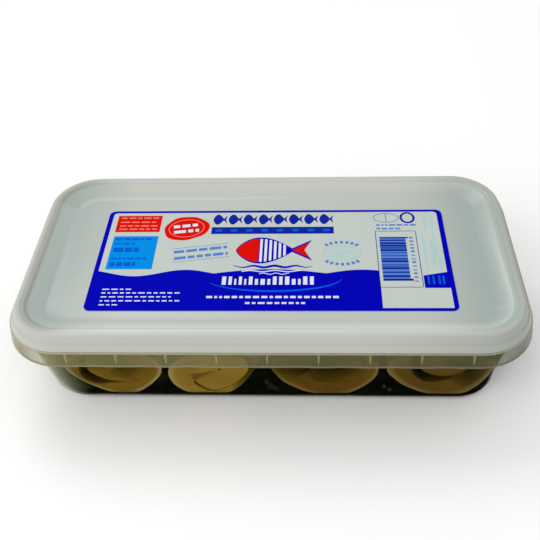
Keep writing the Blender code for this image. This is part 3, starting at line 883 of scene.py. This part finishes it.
SIDE_COLUMNS = ((58.2, 9.5, -9.0), (59.9, 22.0, 12.5), (61.0, 8.0, -8.0), (62.3, 20.5, -2.0),
                (63.2, -3.0, -9.0))
side_marks = [stroke[:, ::-1] for column, (x, top, bottom) in enumerate(SIDE_COLUMNS)
              for stroke in strokes(bottom, top, x, 0.8, 70 + column, 3.6, 0.7)]
printed("label_emblem_marks", pale_blue, plates(emblem_marks, LOWER_INK))
printed("label_pale_marks", pale_cyan,
        emblem_waves + [ribbon(oval(EMBLEM, 7.0, 3.9), 0.5, LOWER_INK, closed=True)]
        + plates(side_marks, LOWER_INK))

NAME_LEFT, NAME_RIGHT, NAME_LOW, NAME_HIGH = -17.0, 18.2, -16.9, -12.6
NAME_STEP = 1.3
NAME_SPACE = 0.9
WHITE_ROWS = ((-23.2, -22.0, 25.8, 1.1, 80), (-26.2, -7.9, 13.4, 0.9, 81),
              (-19.2, -60.5, -49.8, 0.55, 82), (-21.1, -60.4, -31.0, 0.6, 83),
              (-23.1, -60.3, -34.8, 0.55, 84), (-25.1, -60.3, -30.2, 0.6, 85),
              (-27.1, -60.3, -53.5, 0.55, 86))
name_draw = np.random.default_rng(5)
name_blocks, name_x = [], NAME_LEFT
while name_x < NAME_RIGHT - 1.2:
    wide = name_draw.uniform(0.7, 1.7)
    tall = NAME_HIGH if name_draw.random() < 0.3 or not name_blocks else NAME_HIGH - NAME_STEP
    name_blocks.append(box_outline(name_x, min(name_x + wide, NAME_RIGHT), NAME_LOW, tall))
    name_x += wide + NAME_SPACE
white_marks = [stroke for y, left, right, tall, seed in WHITE_ROWS
               for stroke in strokes(left, right, y, tall, seed, 2.6, 0.8)]
printed("label_white_marks", print_white, plates(name_blocks + white_marks, UPPER_INK))

SWASH_MIDDLE, SWASH_HALF = (1.6, -13.2), (25.2, 7.0)
swash_turn = np.linspace(math.pi * 1.14, math.pi * 1.97, 60)
swash = np.column_stack([SWASH_MIDDLE[0] + SWASH_HALF[0] * np.cos(swash_turn),
                         SWASH_MIDDLE[1] + SWASH_HALF[1] * np.sin(swash_turn)])
swash_width = 0.12 + 0.75 * np.sin(np.linspace(0.0, math.pi, 60))
field_lines = [box_outline(x, x + 0.7, -16.8, -12.9 + x * 0.01) for x in (57.6, 59.4, 61.5, 63.0)]
printed("label_swash", mid_blue,
        [ribbon(swash, swash_width, UPPER_INK)] + plates(field_lines, UPPER_INK))

FISH_MIDDLE, FISH_LENGTH, FISH_HEIGHT = (1.4, 1.9), 29.0, 14.0
STRIPES = 6
STRIPE_SHARE = 0.55
big_fish = fish_outline(FISH_MIDDLE, FISH_LENGTH, FISH_HEIGHT, steps=40)
head_line = FISH_MIDDLE[0] - FISH_LENGTH * 0.2
tail_line = FISH_MIDDLE[0] + FISH_LENGTH * 0.2


def clipped(outline, left, right):
    """The stretch of a shape between two upright lines, where each side is crossed once."""
    upper = outline[(outline[:, 1] > FISH_MIDDLE[1]) | (outline[:, 0] < outline[:, 0].min() + 0.1)]
    upper = upper[np.argsort(upper[:, 0])]
    x = np.linspace(max(left, outline[:, 0].min() + 0.05), right, 24)
    half = np.interp(x, upper[:, 0], upper[:, 1] - FISH_MIDDLE[1])
    top = np.column_stack([x, FISH_MIDDLE[1] + half])
    return np.concatenate([top, (top * (1, -1) + (0, 2 * FISH_MIDDLE[1]))[::-1]])


swell_x = np.linspace(-13.5, 16.0, 60)
swell_line = np.column_stack([swell_x, -7.2 + 0.45 * np.sin(swell_x * 0.8)])
swell_width = 0.2 + 1.0 * np.sin(np.linspace(0.0, math.pi, 60))
foam_line = np.column_stack([swell_x * 0.75, -9.7 + 0.35 * np.sin(swell_x * 0.5)])
stripe_left, stripe_right = head_line + 0.5, tail_line - 0.4
stripe_marks = []
for place in range(STRIPES):
    left = stripe_left + (stripe_right - stripe_left) * place / STRIPES
    right = left + (stripe_right - stripe_left) / STRIPES * STRIPE_SHARE
    stripe = clipped(big_fish, left, right)
    stripe_marks.append(FISH_MIDDLE + (stripe - FISH_MIDDLE) * (1.0, 0.88))
head = clipped(big_fish, -99.0, head_line)
head = FISH_MIDDLE + (head - FISH_MIDDLE) * (0.985, 0.9)
tail = np.array([(tail_line + 1.2, 0.0), (FISH_MIDDLE[0] + FISH_LENGTH * 0.475, 4.5),
                 (FISH_MIDDLE[0] + FISH_LENGTH * 0.4, 0.0),
                 (FISH_MIDDLE[0] + FISH_LENGTH * 0.475, -4.5)]) + (0.0, FISH_MIDDLE[1])
printed("label_fish_outline", royal_blue,
        [slab(big_fish, LOWER_INK), ribbon(swell_line, swell_width, LOWER_INK)])
printed("label_foam_lines", print_white,
        [ribbon(foam_line, 0.5, UPPER_INK),
         ribbon(foam_line * (0.5, 1.0) + (1.5, -1.4), 0.35, UPPER_INK)])
printed("label_fish_stripes", print_white, plates(stripe_marks, UPPER_INK))
printed("label_fish_red", box_red, plates([head, tail], UPPER_INK))

# Brine
# Vinegar and water with the spices' colour, filled to just under the rim. It reaches a hair into
# the tub's wall, and swallows light with depth, so that the gaps between the rolls look black.
# A dark, nearly opaque layer of the brine over the floor is painted shade; it is left out at the
# left end, where light comes through the corner.
BRINE_TOP = 33.6
BRINE_SINK = 0.1
MURK_TOP, MURK_FADE = 3.2, 2.0
MURK_LEFT, MURK_LEFT_FADE = -71.0, 12.0
brine_foot = foot_profile(WALL - BRINE_SINK, FLOOR - BRINE_SINK, BASE_FILLET - WALL + BRINE_SINK)
brine_wall = wall_profile(WALL - BRINE_SINK, BASE_FILLET + 1.0, BRINE_TOP)
brine_rings = carried_round(np.concatenate([brine_foot, brine_wall]))
brine_liquid = Finish("brine_liquid", Roughness=0.1, Specular_IOR_Level=0.2)
# Near the floor the brine is painted dark and nearly opaque: painted shade.
murky = brine_liquid.attribute("murk")
brine_liquid.set(Base_Color=brine_liquid.mix(murky, colour(48, 58, 24), colour(23, 26, 11)),
                 Alpha=murky * 0.93 + 0.04)
swallow = brine_liquid.node("VolumeAbsorption", None,
                            {"Color": (0.14, 0.24, 0.0, 1.0), "Density": 210.0})
brine_liquid.feed(brine_liquid.tree.nodes["Material Output"].inputs["Volume"], swallow)
murk = fade(MURK_TOP - brine_rings[..., 2], 0.0, MURK_FADE)
murk *= fade(brine_rings[..., 0], MURK_LEFT, MURK_LEFT_FADE)
add_piece("brine", brine_rings, close_ends(*brine_rings.shape[:2]), brine_liquid,
          "tub_plastic", (), {"murk": murk})

# Herring fillets
# Each is a soured fillet, skin outwards, wound once and two thirds round a pickled gherkin and
# laid in the tub with its cut edge against the front wall. The outer turn follows one leaning
# oval and the inner turn a second one, and the meat fills what is between.
WALL_CLEARANCE = 0.4
TURN_GAP = 0.05
COVER_DEPTH = 5.0
COVER_WHOLE_DEPTH = 1.5
COVER_SHARE = 0.97
COVER_TURN = 388.0
COVER_TURN_RAMP = 15.0
RELIEF = 0.16
RELIEF_SIZE = 9.0
FLAKE_DEPTH = 0.14
FLAKE_PITCH = 5.5
RIND_ANGLE = 240.0
RIND_FADE = 60.0
FLOOR_CLEARANCE = 0.2
HOLLOW_REACH = 0.6
TAIL_THICKNESS = 1.6
HEAD_THICKNESS = 1.8
TAPER_ANGLE = 90.0
RAMP_ANGLE = 110.0
EDGE_WANDER = 0.6
POINT_SPREAD = 30.0
TAPER_SOFTNESS = 0.15
WINDING_STEP = 2.5
EDGE_STEPS = 12
FACE_STEPS = 34
ROLLS = (
    dict(centre=-56.2, base=1.4, outer=(19.7, 17.0), lean=0.1, taper=0.5,
         inner_offset=(2.0, 2.5), inner=(11.3, 9.8), point=0.0, inner_thickness=4.2,
         gap=5.2, gap_angle=210.0, gap_spread=34.0, thin=0.97, groove=0.1, hollow=2.4,
         end_angle=118.0, winding=-1, wound=590.0, front=-41.2, back=20.0,
         recess=((90.0, 40.0, 0.8),), rind=0.7, meat=(136, 103, 32)),
    dict(centre=-20.0, base=1.3, outer=(16.5, 17.0), lean=-0.2, taper=0.03,
         inner_offset=(2.2, 1.0), inner=(10.5, 11.5), point=2.7, inner_thickness=4.3,
         gap=0.5, gap_angle=235.0, gap_spread=40.0, thin=0.87, groove=1.0, hollow=0.4,
         end_angle=70.0, winding=1, wound=595.0, front=-42.0, back=22.0,
         recess=((92.0, 50.0, 5.4),), rind=0.6, meat=(170, 133, 50)),
    dict(centre=20.2, base=1.3, outer=(20.6, 17.0), lean=0.14, taper=0.36,
         inner_offset=(1.0, 2.5), inner=(14.3, 9.4), point=0.0, inner_thickness=4.5,
         gap=0.1, gap_angle=210.0, gap_spread=30.0, thin=0.985, groove=0.1, hollow=4.6,
         end_angle=80.0, winding=1, wound=580.0, front=-41.5, back=24.5,
         recess=((255.0, 40.0, 2.2), (80.0, 36.0, 0.9)), rind=0.3, meat=(114, 83, 21)),
    dict(centre=62.4, base=1.4, outer=(21.5, 17.0), lean=0.19, taper=0.27,
         inner_offset=(0.2, 5.2), inner=(8.8, 7.8), point=0.0, inner_thickness=3.4,
         gap=4.6, gap_angle=230.0, gap_spread=42.0, thin=0.87, groove=0.5, hollow=0.5,
         end_angle=98.0, winding=-1, wound=600.0, front=-41.6, back=18.0,
         recess=((222.0, 45.0, 4.0),), rind=0.32, meat=(106, 78, 22)),
)


def smooth_step(value):
    """0 to 1 with level ends: three times the square less twice the cube."""
    clipped_value = np.clip(value, 0.0, 1.0)
    return clipped_value * clipped_value * (3.0 - 2.0 * clipped_value)


def turn_ovals(roll, angle):
    """Points (x, z) of the outer and the inner oval at angles wound from the outer end."""
    heading = np.radians(roll["end_angle"] - roll["winding"] * angle)
    across, up = np.cos(heading), np.sin(heading)
    width = 1.0 + roll["taper"] * (up - np.sqrt(up * up + TAPER_SOFTNESS)) / 2.0
    from_below = (np.degrees(heading) + 270.0) % 360.0 - 180.0
    point = roll["point"] * np.exp(-(from_below / POINT_SPREAD) ** 2)
    middle = np.array([roll["centre"], roll["base"] + roll["outer"][1]])
    ovals = []
    for half_x, half_z, shift, drop in (
            (roll["outer"][0] * width, roll["outer"][1], (0.0, 0.0), 0.0),
            (roll["inner"][0], roll["inner"][1], roll["inner_offset"], point)):
        z = half_z * up + shift[1] - drop
        x = half_x * across + shift[0] - roll["lean"] * z
        ovals.append(middle + np.stack([x, z], -1))
    return ovals


def outward(roll, angle):
    """Unit vectors square to the inner oval, pointing out of the roll."""
    along = turn_ovals(roll, angle + 0.5)[1] - turn_ovals(roll, angle - 0.5)[1]
    along /= np.linalg.norm(along, axis=-1, keepdims=True)
    return np.stack([-along[:, 1], along[:, 0]], -1) * roll["winding"]


def wound_line(roll, angle):
    """Outer line of the fillet, the unit vectors across it and its thickness."""
    outer, inner = turn_ovals(roll, angle)
    spacing = np.linalg.norm(outer - inner, axis=-1)
    heading = roll["end_angle"] - roll["winding"] * angle
    off_gap = (heading - roll["gap_angle"] + 180.0) % 360.0 - 180.0
    full = spacing - TURN_GAP - roll["gap"] * np.exp(-(off_gap / roll["gap_spread"]) ** 2)
    tail = smooth_step(angle / TAPER_ANGLE)
    ramp = smooth_step((angle - (360.0 - RAMP_ANGLE)) / RAMP_ANGLE)
    head = smooth_step((roll["wound"] - angle) / TAPER_ANGLE)
    thickness = TAIL_THICKNESS + (full - TAIL_THICKNESS) * tail
    share = (thickness + TURN_GAP) / spacing
    share = (share + (1.0 - share) * tail) * (1.0 - ramp)
    inside = HEAD_THICKNESS + (roll["inner_thickness"] - HEAD_THICKNESS) * head
    thickness = np.where(angle < 360.0, thickness + (roll["inner_thickness"] - thickness) * ramp,
                         inside)
    across = (outer - inner) * ((1.0 - ramp) / spacing)[:, None]
    across += outward(roll, angle) * ramp[:, None]
    across /= np.linalg.norm(across, axis=-1, keepdims=True)
    return inner + (outer - inner) * share[:, None], across, thickness


def inner_depth(x, z):
    """Half the tub's inside depth at a place along its length and a height."""
    radius = BASE_FILLET - WALL
    dip = np.clip(radius - np.maximum(z - FLOOR, 0.0), 0.0, radius)
    inwards = WALL + radius - np.sqrt(radius * radius - dip * dip)
    inset = body_inset(z) + inwards
    corner = BODY_CORNER - inwards
    past = np.clip(np.abs(x) - (HALF_LENGTH - inset - corner), 0.0, corner)
    return HALF_DEPTH - inset - corner + np.sqrt(corner * corner - past * past)


def ripple(points, size, seed, count=9):
    """Soft unevenness between about -1 and 1: a sum of waves in scattered directions."""
    draw = np.random.default_rng(seed)
    total = np.zeros(points.shape[:-1])
    for _ in range(count):
        direction = draw.normal(size=3)
        direction /= np.linalg.norm(direction)
        pace = 2.0 * math.pi / (size * draw.uniform(0.6, 1.8))
        total += np.sin(points @ direction * pace + draw.uniform(0.0, 2.0 * math.pi))
    return total / math.sqrt(count)


def fillet_grid(roll, number):
    """Points of one wound fillet, and for each its share of the thickness and of rind.

    Rows follow the winding. Columns go round the section: up the front edge, back over the skin,
    down the rear edge and forward over the meat."""
    rows = round(roll["wound"] / WINDING_STEP)
    angle = np.linspace(0.0, roll["wound"], rows + 1)
    line, normal, thickness = wound_line(roll, angle)
    turned = np.radians(angle)
    front = roll["front"] + EDGE_WANDER * (np.sin(2.0 * turned + number)
                                           + 0.6 * np.sin(3.4 * turned + 2.0 * number))
    for place, spread, depth in roll["recess"]:
        front += depth * np.exp(-((angle - place) / spread) ** 2)
    back = roll["back"] + 1.5 * EDGE_WANDER * np.sin(1.6 * turned + 3.0 * number)
    swing = np.linspace(-math.pi / 2.0, math.pi / 2.0, EDGE_STEPS + 1)
    face = np.linspace(0.0, 1.0, FACE_STEPS + 1)[1:-1]
    flat_swing = np.sign(swing) * np.abs(np.sin(swing)) ** 0.8
    thin = roll["thin"]
    offset = np.concatenate([thin * flat_swing, thin + (1 - thin) * np.sin(math.pi * face),
                             -thin * flat_swing, -thin - (1 - thin) * np.sin(math.pi * face)])
    groove = roll["groove"]
    setback = groove * (1.0 - np.cos(swing)) ** 1.6
    setback_front = np.concatenate([setback, np.full(len(face), groove), setback * 0.0,
                                    np.full(len(face), groove)])
    way = np.concatenate([0.0 * swing, face, 1.0 + 0.0 * swing, 1.0 - face])
    setback_back = np.concatenate([0.0 * setback, np.full(len(face), groove), setback,
                                   np.full(len(face), groove)])
    y = (front[:, None] + setback_front) * (1.0 - way) + (back[:, None] - setback_back) * way
    middle = line - normal * thickness[:, None] / 2.0
    across = offset * thickness[:, None] / 2.0
    place = middle[:, None] + normal[:, None] * across[..., None]
    depth = smooth_step((COVER_DEPTH - (y - front[:, None]))
                        / (COVER_DEPTH - COVER_WHOLE_DEPTH))
    inner_turn = smooth_step((angle - roll["wound"] + COVER_TURN) / COVER_TURN_RAMP)[:, None]
    cover = COVER_SHARE * depth * inner_turn * np.clip(-offset / thin, 0.0, 1.0)
    rise = roll["inner_offset"][1]
    core = np.array([roll["centre"] + roll["inner_offset"][0] - roll["lean"] * rise,
                     roll["base"] + roll["outer"][1] + rise])
    place += (core - place) * cover[..., None]
    off_core = np.linalg.norm(place - core, axis=-1) / (roll["outer"][1] * HOLLOW_REACH)
    y += roll["hollow"] * np.exp(-off_core ** 2) * (1.0 - way)
    points = np.stack([place[..., 0], y, place[..., 1]], -1)
    run = np.concatenate([[0.0], np.cumsum(np.linalg.norm(np.diff(line, axis=0), axis=1))])
    run = np.repeat(run[:, None], len(offset), 1)
    rind = 1.0 - smooth_step((angle - RIND_ANGLE) / RIND_FADE)
    rind = np.repeat(rind[:, None], len(offset), 1)
    skinward = np.repeat((offset[None] + 1.0) / 2.0, len(angle), 0)
    flake = np.cos(2.0 * math.pi * (run + 0.5 * np.abs(y + 10.0)) / FLAKE_PITCH) ** 6
    on_face = np.repeat((np.abs(offset) >= thin)[None], len(angle), 0)
    relief = (RELIEF * ripple(points, RELIEF_SIZE, number)
              - FLAKE_DEPTH * flake * on_face * (skinward < 0.5))
    points[..., 0] += relief * normal[:, None, 0] * np.sign(offset)
    points[..., 2] += relief * normal[:, None, 1] * np.sign(offset)
    limit = inner_depth(points[..., 0], points[..., 2]) - WALL_CLEARANCE
    points[..., 1] = np.maximum(points[..., 1], -limit)
    points[..., 2] = np.maximum(points[..., 2], FLOOR + FLOOR_CLEARANCE)
    return points, skinward, rind


def fillet_finish(number, roll):
    """Soured herring: ochre meat with darker flakes, and a silver skin with a dusky back."""
    made = Finish(f"soured_herring_{number}", Roughness=0.5, Specular_IOR_Level=0.03)
    cloud = made.noise(55.0, 4.0, (1.0, 0.5, 1.0))
    shade = made.between(cloud, 0.35, 0.7)
    meat = made.mix(shade * 0.35, colour(*roll["meat"]), colour(92, 62, 10))
    fibre = made.noise(420.0, 3.0, (1.0, 0.12, 1.0))
    meat = made.mix(made.between(fibre, 0.5, 0.75) * 0.25, meat, colour(70, 48, 8))
    skinward = made.attribute("skinward")
    scales = made.node("TexVoronoi", None, {"Vector": made.place((1.0, 0.7, 1.0)),
                                            "Scale": 620.0})
    silver = made.mix(made.between(scales, 0.1, 0.6), colour(172, 174, 158), colour(150, 154, 142))
    dusk = made.between(made.axis("Y") + 0.006 * cloud, -0.012, 0.016)
    skin = made.mix(dusk, silver, colour(66, 76, 74))
    rind = made.mix(made.attribute("rind") * roll["rind"], meat, colour(184, 168, 110))
    on_end = made.between(made.axis("Y"), -0.037, -0.0355)
    skin = made.mix(on_end, rind, skin)
    made.set(Base_Color=made.mix(made.between(skinward, 0.6, 0.9), meat, skin),
             Normal=made.bump(fibre * 0.6 + cloud, 0.0004, 0.5))
    return made


for number, roll in enumerate(ROLLS, start=1):
    points, skinward, rind = fillet_grid(roll, number)
    add_piece(f"fillet_{number}", points, close_ends(*points.shape[:2]),
              fillet_finish(number, roll), "herring", (f"herring_{number}",),
              {"skinward": skinward, "rind": rind})

# Gherkins
# A small pickled gherkin in the heart of each roll, blunt at both ends and warty. It ends a
# little way in from the roll's two cut edges, so the fillet hides it.
GHERKIN_RECESS = 8.5
GHERKIN_GAP = 0.5
GHERKIN_WIDEST = 6.2
GHERKIN_BLUNTNESS = 3.2
GHERKIN_ROWS = 60
GHERKIN_COLUMNS = 48
gherkin_skin = Finish("gherkin_skin", Roughness=0.35, Coat_Weight=0.3)
blush = gherkin_skin.noise(160.0, 3.0, (1.0, 0.3, 1.0))
gherkin_skin.set(Base_Color=gherkin_skin.mix(gherkin_skin.between(blush, 0.35, 0.65),
                                             colour(96, 104, 36), colour(142, 140, 66)),
                 Normal=gherkin_skin.bump(blush, 0.0003, 0.6))


def gherkin_points(roll, number):
    """Rings of a blunt oval body along Y, with warts where a ripple peaks."""
    wrap = roll["inner_thickness"] + GHERKIN_GAP
    half_width = min(roll["inner"][0] - wrap, GHERKIN_WIDEST)
    half_height = min(roll["inner"][1] - wrap, GHERKIN_WIDEST)
    front, back = roll["front"] + GHERKIN_RECESS, roll["back"] - GHERKIN_RECESS
    rise = roll["inner_offset"][1]
    centre_x = roll["centre"] + roll["inner_offset"][0] - roll["lean"] * rise
    centre_z = roll["base"] + roll["outer"][1] + rise
    turn = np.linspace(0.02, math.pi - 0.02, GHERKIN_ROWS)[:, None]
    side = np.linspace(0.0, 2.0 * math.pi, GHERKIN_COLUMNS, endpoint=False)[None]
    place = -np.cos(turn)
    size = (1.0 - np.abs(place) ** GHERKIN_BLUNTNESS) ** (1.0 / GHERKIN_BLUNTNESS)
    z = half_height * size * np.sin(side)
    x = half_width * size * np.cos(side) - roll["lean"] * z
    y = front + (back - front) * (place + 1.0) / 2.0 + 0.0 * side
    points = np.stack([centre_x + x, y, centre_z + z], -1)
    wart = np.clip(ripple(points, 4.0, 90 + number) - 0.9, 0.0, 1.0)
    shrink = 0.97 + 0.05 * wart
    points[..., 0] = centre_x + (points[..., 0] - centre_x) * shrink
    points[..., 2] = centre_z + (points[..., 2] - centre_z) * shrink
    return points


for number, roll in enumerate(ROLLS, start=1):
    points = gherkin_points(roll, number)
    add_piece(f"cornichon_{number}", points, close_ends(*points.shape[:2]), gherkin_skin,
              "gherkin", (f"gherkin_{number}",))

# Seeds and scraps
# A few mustard seeds and a crumb of carrot, which lie in the brine between the rolls, just
# behind the front wall. Each is a round grain, a little uneven.
SEED_SPOTS = ((-0.9, 9.0, 0.8), (0.8, 7.9, 0.5), (42.4, 6.4, 0.6), (44.6, 4.0, 0.65),
              (2.4, 4.6, 0.5))
SEED_DEPTH = 1.2
SCRAP_SPOT = (0.4, 1.9, 1.9)


def pebble(middle, half, seed, rows=14, columns=18):
    """Round grain, a little uneven, closed at both poles by small flat faces."""
    turn = np.linspace(0.08, math.pi - 0.08, rows)[:, None]
    side = np.linspace(0.0, 2.0 * math.pi, columns, endpoint=False)[None]
    unit = np.stack([np.sin(turn) * np.cos(side), np.sin(turn) * np.sin(side),
                     np.cos(turn) + 0.0 * side], -1)
    return middle + unit * half * (1.0 + 0.06 * ripple(unit, 1.6, seed)[..., None])


def joined(grids):
    """Points and faces of several closed grids of rings as one mesh."""
    points = np.concatenate([grid.reshape(-1, 3) for grid in grids])
    faces, start = [], 0
    for grid in grids:
        faces += [[start + corner for corner in face] for face in close_ends(*grid.shape[:2])]
        start += grid.shape[0] * grid.shape[1]
    return points, faces


def behind_wall(x, z, half):
    """Middle of a grain whose front lies SEED_DEPTH behind the inside of the front wall."""
    return np.array([x, SEED_DEPTH + half - float(inner_depth(np.array(x), np.array(z))), z])


seed_coat = Finish("seed_coat", Roughness=0.4, Base_Color=colour(80, 82, 62))
seeds = [pebble(behind_wall(x, z, half), half, 120 + spot)
         for spot, (x, z, half) in enumerate(SEED_SPOTS)]
add_piece("mustard_seeds", *joined(seeds), seed_coat, "gherkin")
carrot_flesh = Finish("carrot_flesh", Roughness=0.4, Base_Color=colour(128, 70, 20))
scrap_x, scrap_z, scrap_half = SCRAP_SPOT
scrap = pebble(behind_wall(scrap_x, scrap_z, scrap_half), np.array([scrap_half, 1.0, 0.8]), 140)
add_piece("carrot_scrap", *joined([scrap]), carrot_flesh, "gherkin")
